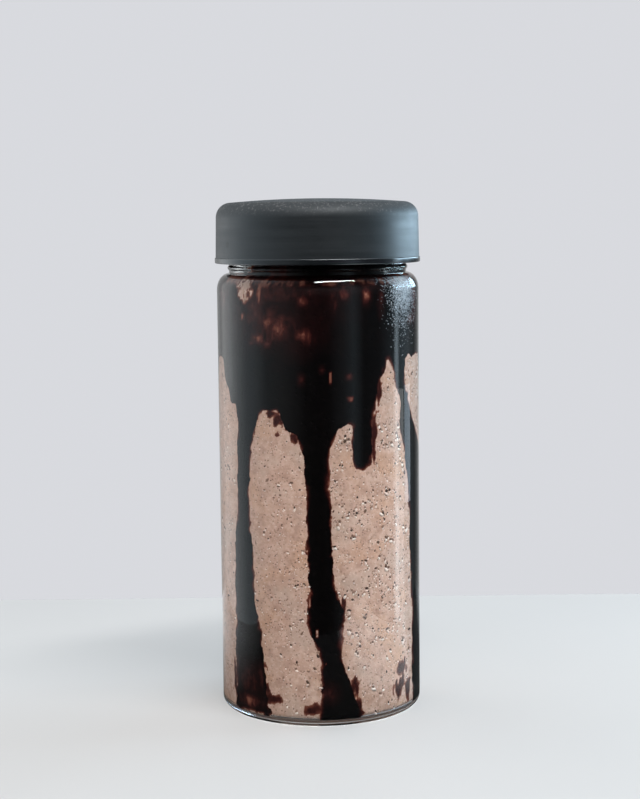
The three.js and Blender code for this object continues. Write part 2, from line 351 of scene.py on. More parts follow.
# Thin brown films on the glass beside the runs: azimuth in degrees, then height and half sizes in mm
FILMS = [
    (-29.5, 8.3, 4.0, 1.9),
    (-35, 11.0, 2.0, 2.6),
    (-35, 19, 1.1, 2.0),
    (-61.5, 12, 1.2, 9),
    (-4.5, 5.2, 3.2, 2.4),
    (20, 12.5, 1.9, 4.2),
    (22.5, 6.5, 1.6, 3.4),
    (13.2, 38, 0.9, 6),
    (56, 15.5, 3.4, 3.6),
    (53, 9.0, 3.2, 4.2),
    (62, 8.5, 2.6, 5.0),
    (-36, 102.6, 1.2, 1.4),
    (-29, 101.6, 2.0, 1.6),
    (-24, 99.6, 2.2, 2.0),
    (-19, 97.0, 2.0, 2.2),
    (-25, 95, 0.8, 0.9),
    (-15, 94, 1.8, 1.8),
    (32.8, 96, 1.5, 13),
    (36.8, 109, 1.3, 7),
    (150, 10, 4, 4),
    (-105, 9, 4, 4),
]
# Places where the coat is bare, then where it is thin, with how much of it is gone. Levels are heights along
# the wall, which go on round the shoulder.
BARE_PLACES = [
    (-49, 142.0, 4.8, 3.0, 1.0),
    (-46.5, 139.6, 4.4, 3.6, 1.0),
    (-36.1, 140.0, 1.1, 4.2, 0.94),
    (-48.9, 132.4, 0.8, 1.5, 0.95),
    (6.9, 113.5, 0.7, 2.8, 0.91),
    (18.2, 106.4, 1.6, 1.3, 0.91),
    (-6.2, 41, 0.5, 2.2, 0.97),
    (-2.3, 30.6, 0.6, 1.9, 1.0),
    (-3, 25.0, 0.5, 1.1, 1.0),
    (2.7, 20.7, 0.35, 0.7, 1.0),
    (-47, 1.8, 9.0, 1.9, 1.0),
    (146, 138, 2, 3, 0.95),
    (-140, 136, 3, 2, 0.93),
]
THIN_PLACES = [
    # The first two, on the shoulder, are painted light: they thin the coat to show the red of light through
    # the shoulder glass
    (27, 143.2, 10.0, 1.5, 1.0),
    (8, 142.6, 12.0, 1.5, 0.98),
    (-34, 142.4, 16.0, 2.4, 0.94),
    (-29, 130.0, 15.0, 10.0, 0.76),
    (-8.9, 137.3, 3.2, 3.2, 0.82),
    (-23.9, 128.6, 6.4, 5.2, 0.90),
    (-30.9, 130.9, 4.0, 3.4, 0.88),
    (-37, 125.7, 4.4, 3.4, 0.90),
    (-42.1, 124.2, 2.4, 2.0, 0.88),
    (-31.1, 123.7, 2.6, 2.2, 0.88),
    (-8.4, 126.3, 5.0, 4.2, 0.90),
    (28.8, 138.9, 2.3, 4.2, 1.0),
    (15.5, 139.5, 3.0, 3.0, 0.84),
    (17.7, 113.3, 1.8, 1.5, 0.90),
    (39, 136.3, 2.0, 6.0, 0.70),
    (72, 136.4, 4.5, 10, 0.86),
    (68, 130.6, 4.6, 3.0, 0.90),
    (2, 115.7, 1.2, 1.4, 0.80),
    (-10, 112.5, 1.6, 2.6, 0.70),
    (-4, 140.0, 2.2, 4.0, 0.60),
    (9, 137.7, 3.0, 6.6, 0.54),
    (-70, 138, 8, 8, 0.74),
    (-47, 6.2, 8.0, 3.6, 0.96),
    (-47, 13, 7.0, 8.0, 0.74),
    (-59, 15, 1.8, 12, 0.80),
    (-38, 14, 1.6, 8, 0.72),
    (5, 11, 4.0, 4.5, 0.66),
    (120, 132, 7, 6, 0.80),
    (168, 126, 6, 5, 0.75),
    (-120, 128, 5, 5, 0.80),
    (-160, 120, 4, 5, 0.75),
    (100, 140, 8, 5, 0.80),
]
THIN_MOST = 0.9
# The top of the coat is a little thin all over, most at the front left, and thinner round the shoulder, where
# the thinning is a painted band of the red light that comes through the shoulder glass
HAZE_START = 112 * MM
HAZE_RISE = 14 * MM
HAZE_SHARE = (0.15, 0.62)
HAZE_AZIMUTH = -34
SHOULDER_LIGHT_LEVEL = 142.9 * MM
SHOULDER_LIGHT_SPREAD = 1.6 * MM
SHOULDER_LIGHT_SHARE = 1.0
HAZE_NARROWNESS = 12
# A blurred straight edge is close to a logistic curve, whose slope this factor matches
LOGISTIC_FIT = 1.702
EDGE_SOFTNESS = 0.8 * MM
COVER_RANGE = (1e-3, 1 - 1e-3)
NOISE_SIZES = (7 * MM, 2.3 * MM, 1.1 * MM)
STREAK_SIZE = (0.9 * MM, 3.2 * MM)
DRIFT_SIZE = (3.1 * MM, 8.3 * MM)
THIN_FALLOFF = 1.3


class Sauce:
    """Where the sauce lies on the glass.

    Of its fields, edge is the distance inside its outline in mm, the thinness field how thin it is there and,
    round the shoulder, a painted band of light, and film a thin layer beyond it.
    """

    def __init__(self, wall):
        rng = np.random.default_rng(SEED)
        cover = np.clip(blur(sauce_mask(wall), EDGE_SOFTNESS), *COVER_RANGE)
        edge = EDGE_SOFTNESS / LOGISTIC_FIT * np.log(cover / (1 - cover))
        broad, middle, fine = (lattice_noise(wall, size, size, rng) for size in NOISE_SIZES)
        streak = lattice_noise(wall, *STREAK_SIZE, rng)
        drift = lattice_noise(wall, *DRIFT_SIZE, rng)
        uneven = np.clip(0.45 + broad, 0.1, 1.3)
        self.edge = edge + (0.35 * drift + uneven * (0.34 * middle + 0.2 * fine)) * MM
        film = np.zeros(wall.shape)
        for place in FILMS:
            patch = (1 - spot(wall, *place)) * 1.7 + 0.5 * streak + 0.3 * fine
            film = np.maximum(film, np.clip(patch, 0, 1))
        gone_and_shoulder_light = np.zeros(wall.shape)
        for *place, share in THIN_PLACES:
            faint = np.exp(-THIN_FALLOFF * spot(wall, *place) ** 2)
            gone_and_shoulder_light = np.maximum(gone_and_shoulder_light, share * faint * np.clip(0.9 + 0.12 * streak + 0.1 * fine, 0, 1))
        for *place, share in BARE_PLACES:
            crisp = (1 - spot(wall, *place)) * 2.8 + 0.2 * streak + 0.3 * fine
            gone_and_shoulder_light = np.maximum(gone_and_shoulder_light, share * np.clip(crisp, 0, 1))
        band = np.clip((wall.z - HAZE_START) / HAZE_RISE, 0, 1)[None, :]
        front = 0.5 + 0.5 * np.cos(wall.azimuth - math.radians(HAZE_AZIMUTH))[:, None]
        haze = HAZE_SHARE[0] + (HAZE_SHARE[1] - HAZE_SHARE[0]) * front**HAZE_NARROWNESS
        gone_and_shoulder_light = np.maximum(gone_and_shoulder_light, haze * band * np.clip(0.8 + 0.5 * broad, 0, 1))
        # Painted light: a band of thinner coat round the shoulder, for the red light that comes through the
        # shoulder glass
        shoulder = np.exp(-(((wall.level - SHOULDER_LIGHT_LEVEL) / SHOULDER_LIGHT_SPREAD) ** 2))[None, :]
        mottle = np.clip(0.9 + 0.25 * middle + 0.2 * streak, 0, 1)
        gone_and_shoulder_light = np.maximum(gone_and_shoulder_light, SHOULDER_LIGHT_SHARE * shoulder * mottle)
        self.fields = {"edge": self.edge / MM, "gone_and_shoulder_light": gone_and_shoulder_light, "film": film}


def grid_solid(name, outer, inner, keep, material, attributes):
    """A closed solid between two surfaces over the kept cells of a grid that closes on itself."""
    around, up = outer.shape[:2]
    index = np.arange(around * up).reshape(around, up)
    after = np.roll(index, -1, axis=0)
    lift = around * up
    a, b = index[:, :-1], after[:, :-1]
    c, d = after[:, 1:], index[:, 1:]
    below = np.pad(keep, ((0, 0), (1, 0)))[:, :-1]
    above = np.pad(keep, ((0, 0), (0, 1)))[:, 1:]
    left, right = np.roll(keep, 1, axis=0), np.roll(keep, -1, axis=0)
    quads = [(keep, a, b, c, d), (keep, d + lift, c + lift, b + lift, a + lift)]
    for open_side, p, q in ((below, a, b), (right, b, c), (above, c, d), (left, d, a)):
        quads.append((keep & ~open_side, q, p, p + lift, q + lift))
    faces = np.concatenate([np.stack([x[where] for x in corners], axis=1) for where, *corners in quads])
    used, faces = np.unique(faces, return_inverse=True)
    places = np.concatenate([outer.reshape(-1, 3), inner.reshape(-1, 3)])[used]
    piece = mesh_object(name, places.tolist(), faces.reshape(-1, 4).tolist(), material, 60)
    for key, field in attributes.items():
        values = np.concatenate([field.ravel(), field.ravel()])[used].astype(np.float32)
        add_field(piece, key, values)
    return piece


def add_sauce(wall, sauce, material):
    """The coat of sauce on the glass, with its runs."""
    last = len(wall.z) - 1
    rows = np.unique(np.append(np.arange(0, last, ROW_STEP), last))
    stand = np.clip(sauce.edge * SAUCE_STAND_SLOPE, *SAUCE_STAND)
    outer = wall.points(INTO_WALL + stand)[:, rows]
    thickness = np.clip(sauce.edge * SAUCE_SLOPE, SAUCE_LEAST, SAUCE_THICKNESS)
    inner = wall.points(INTO_WALL - SAUCE_LEAST - thickness)[:, rows]
    solid = sauce.edge[:, rows] > -SAUCE_MARGIN
    both = np.logical_and(solid, np.roll(solid, -1, axis=0))
    keep = np.logical_and(both[:, :-1], both[:, 1:])
    fields = {key: field[:, rows] for key, field in sauce.fields.items()}
    return grid_solid("sauce_coat", outer, inner, keep, material, fields)


def add_milkshake(wall, sauce, material):
    """The drink, pressed against the glass, with the sauce sunk into it and a flat top."""
    groove = np.clip((sauce.edge - GROOVE_START) * SAUCE_SLOPE, 0, SAUCE_THICKNESS)
    below = np.flatnonzero(wall.z <= FILL)
    below = below[below <= np.flatnonzero(np.diff(wall.z > FILL))[0]]
    rows = np.unique(np.append(below[::ROW_STEP], below[-1]))
    rings = wall.points(INTO_WALL - groove)[:, rows].transpose(1, 0, 2)
    shares = np.array(SHAKE_TOP_RINGS)[:, None]
    top = round_points(shares * INNER_NECK_RADIUS, FILL, wall.azimuth[None, :])
    rings = np.concatenate([rings, top])
    count, around = rings.shape[:2]
    index = np.arange(count * around).reshape(count, around)
    after = np.roll(index, -1, axis=1)
    quads = np.stack([index[:-1], after[:-1], after[1:], index[1:]], axis=-1).reshape(-1, 4)
    bottom, peak = count * around, count * around + 1
    faces = quads.tolist()
    faces += [(bottom, b, a) for a, b in zip(index[0].tolist(), after[0].tolist())]
    faces += [(a, b, peak) for a, b in zip(index[-1].tolist(), after[-1].tolist())]
    vertices = rings.reshape(-1, 3).tolist() + [(0, 0, FLOOR + FLOOR_DOME - INTO_WALL), (0, 0, FILL)]
    piece = mesh_object("shake", vertices, faces, material, 60)
    for key, field in sauce.fields.items():
        blank = FAR_FROM_SAUCE if key == "edge" else 0.0
        values = np.full(len(vertices), blank, np.float32)
        values[: len(rows) * around] = field[:, rows].T.ravel()
        add_field(piece, key, values)
    return piece


# Small things: each kind is one joined mesh

BLOB_SIDES = 5
BLOB_ROWS = ((0.8, -0.4), (0.9, 0.4))
BLOB_STRETCH = (1.0, 2.0)
BLOB_UNEVEN = (0.7, 1.3)


def blobs(name, centres, outward, radii, flatness, rng, material, shades):
    """Small uneven flattened lumps. Each has its own size and shade and lies flat across its outward line."""
    sides = BLOB_SIDES
    rows = BLOB_ROWS
    vertices, faces, tones = [], [], []
    for centre, out, radius, shade in zip(centres, outward, radii, shades):
        out = Vector(out)
        across = out.orthogonal().normalized()
        across.rotate(Quaternion(out, rng.uniform(0, math.pi)))
        up = out.cross(across)
        stretch = math.sqrt(rng.uniform(*BLOB_STRETCH))
        base = len(vertices)
        reach = radius * rng.uniform(*BLOB_UNEVEN, sides)
        for ring, level in rows:
            for k in range(sides):
                angle = 2 * math.pi * k / sides
                flat = across * (math.cos(angle) * stretch) + up * (math.sin(angle) / stretch)
                vertices.append(Vector(centre) + flat * (ring * reach[k]) + out * (level * flatness * radius))
        for level in (-1.0, 1.0):
            vertices.append(Vector(centre) + out * (level * flatness * radius))
        below, above = len(vertices) - 2, len(vertices) - 1
        for k in range(sides):
            after = (k + 1) % sides
            faces.append((below, base + after, base + k))
            for row in range(len(rows) - 1):
                low, high = base + row * sides, base + (row + 1) * sides
                faces.append((low + k, low + after, high + after, high + k))
            last = base + (len(rows) - 1) * sides
            faces.append((last + k, last + after, above))
        tones += [shade] * (len(vertices) - base)
    piece = mesh_object(name, vertices, faces, material, 80)
    add_field(piece, "shade", np.array(tones, np.float32))
    return piece


def sizes(rng, count, median, spread, least, most):
    """Uneven radii in metres, from a median and limits in mm."""
    return np.clip(rng.lognormal(math.log(median), spread, count), least, most) * MM


# Grains lie thickest round one azimuth and in clumps, and thin out towards the floor
GRAIN_HEIGHTS = (3.4 * MM, 128 * MM)
GRAIN_THICKEST = math.radians(40)
GRAIN_LEAST = 0.36
GRAIN_THIN_BELOW = 28 * MM
GRAIN_FLOOR_SHARE = 0.3
GRAIN_CLUMP = 3.2 * MM
CLUMP_MIDDLE = 0.55
CLUMP_SWING = 0.8
CLUMP_LEAST = 0.08
FILM_FREE = 0.1
GRAIN_FAINTEST = 0.4
GRAIN_FLATNESS = 0.45
SPECK_DRAWS = 20000
SPECK_CLEAR = 0.2 * MM
SPECK_SIZE = (0.26, 0.45, 0.09, 0.75)
PALE_SHARE = 0.8
PALE_ASIDE = 0.12 * MM
PALE_FALL = 1.1
PALE_GAP = (0.05, 0.3)
PALE_SIZE = (0.7, 1.3)
DEW_COUNT = 4600
DEW_AZIMUTH = (56, 6.5)
DEW_TOP = 144.5
DEW_SPREAD = 7.0
DEW_LIFT_MOST = 0.98
DEW_SIZE = (0.10, 0.4, 0.05, 0.25)
DEW_FLATNESS = 0.35


def on_wall(wall, sauce, rng, count, clear):
    """Random places on the inside of the glass, at least so far from the sauce, with their outward lines."""
    azimuth = rng.uniform(-math.pi, math.pi, count)
    z = rng.uniform(*GRAIN_HEIGHTS, count)
    thick = (0.5 + 0.5 * np.cos(azimuth - GRAIN_THICKEST)) ** 2
    thick = np.maximum(thick, GRAIN_LEAST) * np.clip(z / GRAIN_THIN_BELOW, GRAIN_FLOOR_SHARE, 1)
    column = np.floor((azimuth + math.pi) / (2 * math.pi) * AZIMUTH_STEPS).astype(int) % AZIMUTH_STEPS
    row = np.minimum(np.searchsorted(wall.z[wall.side_start :], z) + wall.side_start, wall.shape[1] - 1)
    clumps = lattice_noise(wall, GRAIN_CLUMP, GRAIN_CLUMP, rng)[column, row]
    clump = np.clip(CLUMP_MIDDLE + CLUMP_SWING * clumps, CLUMP_LEAST, 1)
    chosen = rng.uniform(0, 1, count) < thick * clump
    free = chosen & (sauce.edge[column, row] < -clear) & (sauce.fields["film"][column, row] < FILM_FREE)
    azimuth, z, row = azimuth[free], z[free], row[free]
    centres = round_points(wall.r[row], z, azimuth)
    return centres, round_points(wall.out_r[row], wall.out_z[row], azimuth)


def away_from_thickest(centres):
    """0 where the grains lie thickest, 1 on the other side of the jar."""
    azimuth = np.arctan2(centres[:, 0], -centres[:, 1])
    return 0.5 - 0.5 * np.cos(azimuth - GRAIN_THICKEST)


def add_specks(wall, sauce, material):
    """Dark grains of chocolate, and painted shade in the pits in the drink, seen against the glass."""
    rng = np.random.default_rng(SEED + 1)
    centres, outward = on_wall(wall, sauce, rng, SPECK_DRAWS, SPECK_CLEAR)
    radii = sizes(rng, len(centres), *SPECK_SIZE)
    shades = 1 - rng.uniform(0, 1, len(centres)) * (1 - GRAIN_FAINTEST * away_from_thickest(centres))
    piece = blobs("chocolate_specks_and_pit_shade", centres, outward, radii, GRAIN_FLATNESS, rng, material, shades)
    return piece, centres, outward, radii


def add_pale_grains_and_pit_highlights(beside, material):
    """Pale grains, and painted highlights for the lit lower lips of the pits, below some of the dark grains.
    """
    rng = np.random.default_rng(SEED + 2)
    centres, outward, radii = beside
    chosen = rng.uniform(0, 1, len(centres)) < PALE_SHARE * (1 - away_from_thickest(centres))
    centres, outward, radii = centres[chosen], outward[chosen], radii[chosen]
    aside = np.cross(outward, (0, 0, 1))
    shift = aside * rng.normal(0, PALE_ASIDE, len(centres))[:, None]
    # The pale marks drop below the dark ones, where light from above would catch a pit's lower lip
    drop = radii * PALE_FALL + rng.uniform(*PALE_GAP, len(centres)) * MM
    fall = drop[:, None] * np.array((0, 0, 1))
    size = radii * rng.uniform(*PALE_SIZE, len(centres))
    shades = rng.uniform(0, 1, len(centres))
    return blobs("pale_grains_and_pit_highlights", centres + shift - fall, outward, size, GRAIN_FLATNESS, rng, material, shades)


def add_dew(material):
    """Fine condensation on the outside of the glass, thickest at the right, from the shoulder down, coloured
    pale blue as a painted reflection of the window light on the drops.
    """
    rng = np.random.default_rng(SEED + 3)
    count = DEW_COUNT
    azimuth = np.radians(rng.normal(*DEW_AZIMUTH, count))
    level = DEW_TOP - np.abs(rng.normal(0, DEW_SPREAD, count))
    lift = np.clip((level - SHOULDER_START / MM) / (SHOULDER_RISE / MM), 0, DEW_LIFT_MOST)
    slope = np.arcsin(lift)
    r = NECK_RADIUS + (BODY_RADIUS - NECK_RADIUS) * np.cos(slope)
    centres = round_points(r, level * MM, azimuth)
    outward = round_points(np.cos(slope), np.sin(slope), azimuth)
    radii = sizes(rng, count, *DEW_SIZE)
    return blobs("dew_and_glare", centres, outward, radii, DEW_FLATNESS, rng, material, rng.uniform(0, 1, count))


# Materials


class Nodes:
    """A material's node tree with one Principled shader, built up by name."""

    def __init__(self, name):
        self.material = bpy.data.materials.new(name)
        self.material.use_nodes = True
        self.tree = self.material.node_tree
        self.tree.nodes.clear()
        self.output = self.add("OutputMaterial")
        self.shader = self.add("BsdfPrincipled")
        self.link(self.shader.outputs[0], self.output.inputs["Surface"])

    def add(self, kind, inputs=None, **settings):
        node = self.tree.nodes.new("ShaderNode" + kind)
        for key, value in settings.items():
            setattr(node, key, value)
        for key, value in (inputs or {}).items():
            self.set(node.inputs[key], value)
        return node

    def set(self, socket, value):
        if isinstance(value, bpy.types.NodeSocket):
            self.link(value, socket)
        else:
            socket.default_value = value

    def link(self, source, target):
        self.tree.links.new(source, target)

    def place(self):
        return self.add("TexCoord").outputs["Object"]

    def noise(self, scale, detail=3.0, roughness=0.5, place=None):
        where = place or self.place()
        settings = {"Vector": where, "Scale": scale, "Detail": detail, "Roughness": roughness}
        return self.add("TexNoise", settings).outputs["Fac"]

    def math(self, operation, a, b=0.0):
        node = self.add("Math", operation=operation)
        self.set(node.inputs[0], a)
        self.set(node.inputs[1], b)
        return node.outputs[0]

    def remap(self, value, low, high, to_low=0.0, to_high=1.0):
        inputs = {"Value": value, "From Min": low, "From Max": high, "To Min": to_low, "To Max": to_high}
        return self.add("MapRange", inputs).outputs["Result"]

    def ramp(self, value, *stops):
        node = self.add("ValToRGB")
        elements = node.color_ramp.elements
        while len(elements) < len(stops):
            elements.new(0.5)
        for element, (position, colour) in zip(elements, stops):
            element.position = position
            element.color = (*colour, 1)
        self.link(value, node.inputs["Fac"])
        return node.outputs["Color"]

    def mix(self, factor, a, b, blend="MIX"):
        node = self.add("Mix", data_type="RGBA", blend_type=blend)
        for socket, value in ((node.inputs[0], factor), (node.inputs[6], a), (node.inputs[7], b)):
            self.set(socket, (*value, 1) if isinstance(value, tuple) else value)
        return node.outputs[2]

    def bump(self, height, strength, distance):
        return self.add("Bump", {"Height": height, "Strength": strength, "Distance": distance}).outputs[0]


SHAKE_COLOUR = (0.62, 0.410, 0.325)
SHAKE_DARK = (0.50, 0.320, 0.245)
SHAKE_PALE = (0.73, 0.530, 0.440)
SHAKE_GRAIN = (0.26, 0.155, 0.115)
SHAKE_FROTH = (0.80, 0.66, 0.58)
SHAKE_TAN = (0.63, 0.375, 0.245)
SHAKE_GREY = (0.585, 0.44, 0.365)
# Colour of the sauce by how much of its full thickness is there
SAUCE_TONES = (
    (0.0, (0.42, 0.26, 0.195)),
    (0.06, (0.27, 0.098, 0.062)),
    (0.14, (0.135, 0.040, 0.027)),
    (0.30, (0.046, 0.0100, 0.0080)),
    (0.55, (0.011, 0.0025, 0.0024)),
    (0.9, (0.0015, 0.001, 0.001)),
)
GLASS_COLOUR = (0.97, 0.99, 0.99, 1)
GLASS_SHADOW = (0.96, 0.98, 0.98, 1)
STIPPLE_ROUGHNESS = 0.6
STIPPLE_HEIGHT = (0.1 * MM, 0.5 * MM)


def glass_material():
    """Clear glass, stippled under the foot, that lets lamps light what is inside it."""
    nodes = Nodes("clear_glass")
    wave = nodes.noise(45.0, 2.0)
    height = nodes.add("SeparateXYZ", {0: nodes.place()}).outputs["Z"]
    glass = nodes.shader
    for key, value in {
        "Base Color": GLASS_COLOUR,
        "IOR": 1.5,
        "Specular IOR Level": 0.38,
        "Transmission Weight": 1.0,
    }.items():
        glass.inputs[key].default_value = value
    nodes.link(nodes.remap(height, *STIPPLE_HEIGHT, STIPPLE_ROUGHNESS, 0.0), glass.inputs["Roughness"])
    nodes.link(nodes.bump(wave, 0.25, 0.3 * MM), glass.inputs["Normal"])
    clear = nodes.add("BsdfTransparent", {"Color": GLASS_SHADOW})
    ray = nodes.add("LightPath")
    shadow = nodes.add("MixShader", {0: ray.outputs["Is Shadow Ray"]})
    nodes.link(glass.outputs[0], shadow.inputs[1])
    nodes.link(clear.outputs[0], shadow.inputs[2])
    nodes.link(shadow.outputs[0], nodes.output.inputs["Surface"])
    return nodes.material


LID_DARK = (0.005, 0.006, 0.007)
LID_PALE = (0.010, 0.012, 0.014)
LID_LINES = (0.022, 0.025, 0.028)
LID_LINE_STRETCH = (0.03, 0.03, 1)
LID_LINE_RELIEF = 2.4
# Pale dust on the crown, which also paints the light that falls on the top of the lid
LID_DUST_AND_TOP_LIGHT = (0.24, 0.23, 0.23)
LID_DUST_AND_TOP_LIGHT_SHARE = 0.7
LID_ROUGHNESS = (0.41, 0.56)
CROWN_ROUGHER = 0.36
LIP_GLOSS = 0.35
LIP_FADE = 0.4 * MM
LID_SHEEN = (0.90, 0.96, 1.0, 1)
# The nick's azimuth in degrees and height in mm
LID_NICK = (-59.0, 155.0)
NICK_EDGE = (0.75 * MM, 1.35 * MM)
NICK_RAGGED = 0.2 * MM
NICK_COLOUR = (0.001, 0.001, 0.001)


def lid_material():
    """Satin charcoal plastic with fine grain, faint level lines, a crown of dust and painted highlight, a
    glossy lip and a nick.
    """
    nodes = Nodes("satin_plastic")
    place = nodes.place()
    grain = nodes.noise(2600.0, 2.0, place=place)
    cloud = nodes.noise(70.0, 4.0, 0.6, place)
    dust_and_top_light = nodes.remap(nodes.noise(1300.0, 4.0, 0.65, place), 0.54, 0.70)
    level = nodes.add("VectorMath", {0: place, 1: LID_LINE_STRETCH}, operation="MULTIPLY").outputs[0]
    bands = nodes.noise(420.0, 4.0, 0.65, level)
    height = nodes.add("SeparateXYZ", {0: place}).outputs["Z"]
    crown = nodes.remap(height, LID_TOP - LID_CROWN - LID_EDGE, LID_TOP - LID_CROWN)
    relief = nodes.math("ADD", grain, nodes.math("MULTIPLY", bands, LID_LINE_RELIEF))
    colour = nodes.mix(cloud, LID_DARK, LID_PALE)
    colour = nodes.mix(nodes.remap(bands, 0.45, 0.7, 0.0, 0.6), colour, LID_LINES)
    # Pale speckles on the crown: real dust, and a painted highlight where light from above falls on the top
    dusty_and_lit_crown = nodes.math("MULTIPLY", nodes.math("MULTIPLY", dust_and_top_light, crown), LID_DUST_AND_TOP_LIGHT_SHARE)
    colour = nodes.mix(dusty_and_lit_crown, colour, LID_DUST_AND_TOP_LIGHT)
    azimuth, nick_height = LID_NICK
    nick = round_points(LID_RADIUS, nick_height * MM, math.radians(azimuth))
    apart = nodes.add("VectorMath", {0: place, 1: tuple(nick)}, operation="DISTANCE").outputs["Value"]
    ragged = nodes.math("ADD", apart, nodes.math("MULTIPLY", grain, NICK_RAGGED))
    whole = nodes.remap(ragged, *NICK_EDGE)
    nodes.link(nodes.mix(whole, NICK_COLOUR, colour), nodes.shader.inputs["Base Color"])
    satin = nodes.remap(nodes.math("ADD", cloud, bands), 0.7, 1.3, *LID_ROUGHNESS)
    rough = nodes.math("ADD", satin, nodes.math("MULTIPLY", crown, CROWN_ROUGHER))
    lip_top = LID_BOTTOM + LID_LIP_HEIGHT
    lip = nodes.remap(height, lip_top - LIP_FADE, lip_top, LIP_GLOSS, 1.0)
    nodes.link(nodes.math("MULTIPLY", rough, lip), nodes.shader.inputs["Roughness"])
    nodes.shader.inputs["Specular IOR Level"].default_value = 1.0
    nodes.shader.inputs["Specular Tint"].default_value = LID_SHEEN
    nodes.link(nodes.bump(relief, 0.3, 0.05 * MM), nodes.shader.inputs["Normal"])
    return nodes.material


def shake_colour(nodes, place):
    """Mottled beige-brown in tan and grey patches, with small dark and pale grains."""
    mottle = nodes.noise(230.0, 6.0, 0.68, place)
    curd = nodes.remap(nodes.noise(640.0, 2.0, 0.5, place), 0.3, 0.7, -0.09, 0.09)
    tone = nodes.math("ADD", mottle, curd)
    colour = nodes.ramp(tone, (0.32, SHAKE_DARK), (0.5, SHAKE_COLOUR), (0.7, SHAKE_PALE))
    patch = nodes.noise(75.0, 3.0, 0.55, place)
    colour = nodes.mix(nodes.remap(patch, 0.52, 0.68, 0.0, 0.6), colour, SHAKE_TAN)
    colour = nodes.mix(nodes.remap(patch, 0.47, 0.34, 0.0, 0.6), colour, SHAKE_GREY)
    for scale, reach, spread, level, tint in (
        (1100.0, 0.24, 520.0, 0.48, SHAKE_GRAIN),
        (1300.0, 0.22, 610.0, 0.50, SHAKE_FROTH),
    ):
        cells = nodes.add("TexVoronoi", {"Vector": place, "Scale": scale, "Randomness": 1.0})
        near = nodes.remap(cells.outputs["Distance"], reach * 0.5, reach * 1.5, 1.0, 0.0)
        chosen = nodes.remap(nodes.noise(spread, 1.0, place=place), level, level + 0.08)
        colour = nodes.mix(nodes.math("MULTIPLY", near, chosen), colour, tint)
    return colour


def contents_colour(nodes, place):
    """The colour against the glass: the shake, and over it the sauce, as thick as the piece's fields tell."""
    field = lambda name: nodes.add("Attribute", attribute_name=name, attribute_type="GEOMETRY").outputs["Fac"]
    drawn_out = nodes.add("VectorMath", {0: place, 1: (1, 1, 0.55)}, operation="MULTIPLY").outputs[0]
    ragged = nodes.math("SUBTRACT", nodes.noise(380.0, 6.0, 0.7, drawn_out), 0.5)
    patchy = nodes.math("SUBTRACT", nodes.noise(520.0, 5.0, 0.65, drawn_out), 0.5)
    reach = nodes.math("ADD", field("edge"), nodes.math("MULTIPLY", ragged, 2.3))
    fringe = nodes.remap(nodes.noise(110.0, 2.0, 0.5, place), 0.42, 0.66, 0.3, 2.6)
    full = nodes.remap(reach, 0.0, fringe)
    waver = nodes.math("ADD", nodes.math("MULTIPLY", patchy, 1.4), 1.0)
    # The thinness field also carries the painted band of light round the shoulder
    gone_and_shoulder_light = field("gone_and_shoulder_light")
    lost = nodes.math("MINIMUM", nodes.math("MULTIPLY", gone_and_shoulder_light, waver), nodes.math("MAXIMUM", gone_and_shoulder_light, THIN_MOST))
    left = nodes.math("SUBTRACT", 1.0, nodes.math("MINIMUM", lost, 1.0))
    streaks = nodes.math("ADD", field("film"), nodes.math("MULTIPLY", ragged, 1.4))
    film = nodes.remap(streaks, 0.25, 1.1, 0.0, 0.42)
    depth = nodes.math("MAXIMUM", nodes.math("MULTIPLY", full, left), film)
    covered = nodes.remap(depth, 0.0, 0.05)
    return nodes.mix(covered, shake_colour(nodes, place), nodes.ramp(depth, *SAUCE_TONES))


def shake_relief(nodes, place):
    """A fine uneven surface with small round pits."""
    cells = nodes.add("TexVoronoi", {"Vector": place, "Scale": 700.0, "Randomness": 1.0})
    rim = nodes.remap(cells.outputs["Distance"], 0.10, 0.38)
    pick = nodes.add("SeparateColor", {0: cells.outputs["Color"]}).outputs[0]
    pits = nodes.math("MAXIMUM", rim, nodes.remap(pick, 0.5, 0.56))
    return nodes.math("ADD", pits, nodes.noise(600.0, 4.0, 0.6, place))


def contents_material(name, roughness):
    """What lies against the inside of the glass: thick mottled shake, and sauce from a film to near black."""
    nodes = Nodes(name)
    place = nodes.place()
    nodes.link(contents_colour(nodes, place), nodes.shader.inputs["Base Color"])
    nodes.shader.inputs["Roughness"].default_value = roughness
    nodes.shader.inputs["Specular IOR Level"].default_value = 0.03
    nodes.link(nodes.bump(shake_relief(nodes, place), 0.5, 0.22 * MM), nodes.shader.inputs["Normal"])
    return nodes.material


def grain_material(name, roughness, *stops):
    """Small grains whose colour follows each one's own shade."""
    nodes = Nodes(name)
    shade = nodes.add("Attribute", attribute_name="shade", attribute_type="GEOMETRY").outputs["Fac"]
    fine = nodes.noise(1500.0, 2.0)
    uneven = nodes.math("MULTIPLY", nodes.math("SUBTRACT", fine, 0.5), 0.4)
    nodes.link(nodes.ramp(nodes.math("ADD", shade, uneven), *stops), nodes.shader.inputs["Base Color"])
    nodes.shader.inputs["Roughness"].default_value = roughness
    nodes.shader.inputs["Specular IOR Level"].default_value = 0.15
    nodes.link(nodes.bump(fine, 0.3, 0.1 * MM), nodes.shader.inputs["Normal"])
    return nodes.material


# Dark tones: chocolate grains, and painted shade in the upper sides of pits
SPECK_TONES = ((0.0, (0.03, 0.016, 0.012)), (0.3, (0.12, 0.066, 0.046)), (1.0, (0.43, 0.27, 0.20)))
# Pale tones: pale grains, and painted highlights on the lower lips of pits
PALE_TONES = ((0.0, (0.66, 0.47, 0.385)), (1.0, (0.98, 0.90, 0.84)))
# The dew's pale blue tones are a painted reflection of the window light on the drops
DEW_GLARE_TONES = ((0.0, (0.36, 0.42, 0.48)), (1.0, (0.62, 0.68, 0.74)))


